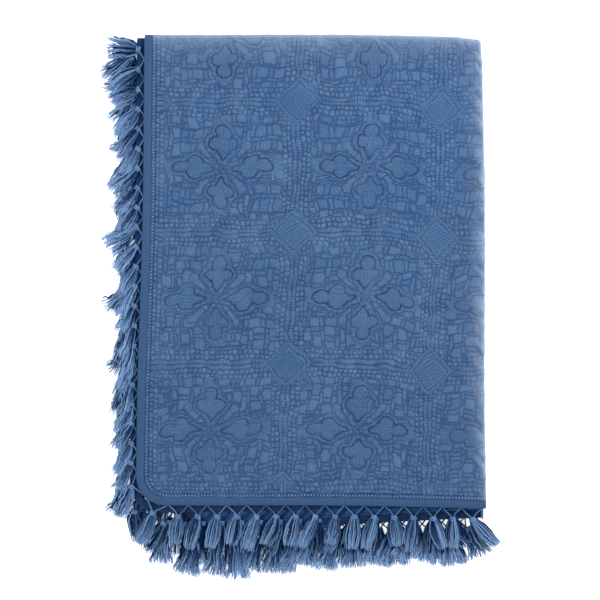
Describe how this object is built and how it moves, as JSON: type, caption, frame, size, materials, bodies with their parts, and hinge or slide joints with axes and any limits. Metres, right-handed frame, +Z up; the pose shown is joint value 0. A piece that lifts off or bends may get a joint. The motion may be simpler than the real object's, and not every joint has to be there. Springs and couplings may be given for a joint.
{
  "type": "tasselled quilt",
  "caption": "Quilted cotton throw, folded in half both ways and lying flat, with a plain band and a knotted tassel fringe along its free edges.",
  "frame": {"origin": "middle of the folded quilt's underside, on the surface that it lies on", "axes": "+X across the folded quilt towards the side fold, +Y along it towards the top fold, +Z up"},
  "size_m": [0.7482, 1.0429, 0.0277],
  "materials": {
    "quilted_cotton": "matte, quilted",
    "fringe_yarn": "matte, loose yarn"
  },
  "bodies": {
    "root": {"quilt": "quilted_cotton", "fringe_hem_1": "fringe_yarn", "fringe_left_1": "fringe_yarn", "fringe_hem_2": "fringe_yarn", "fringe_left_2": "fringe_yarn", "fringe_hem_3": "fringe_yarn", "fringe_left_3": "fringe_yarn", "fringe_hem_4": "fringe_yarn", "fringe_left_4": "fringe_yarn"}
  },
  "joints": []
}
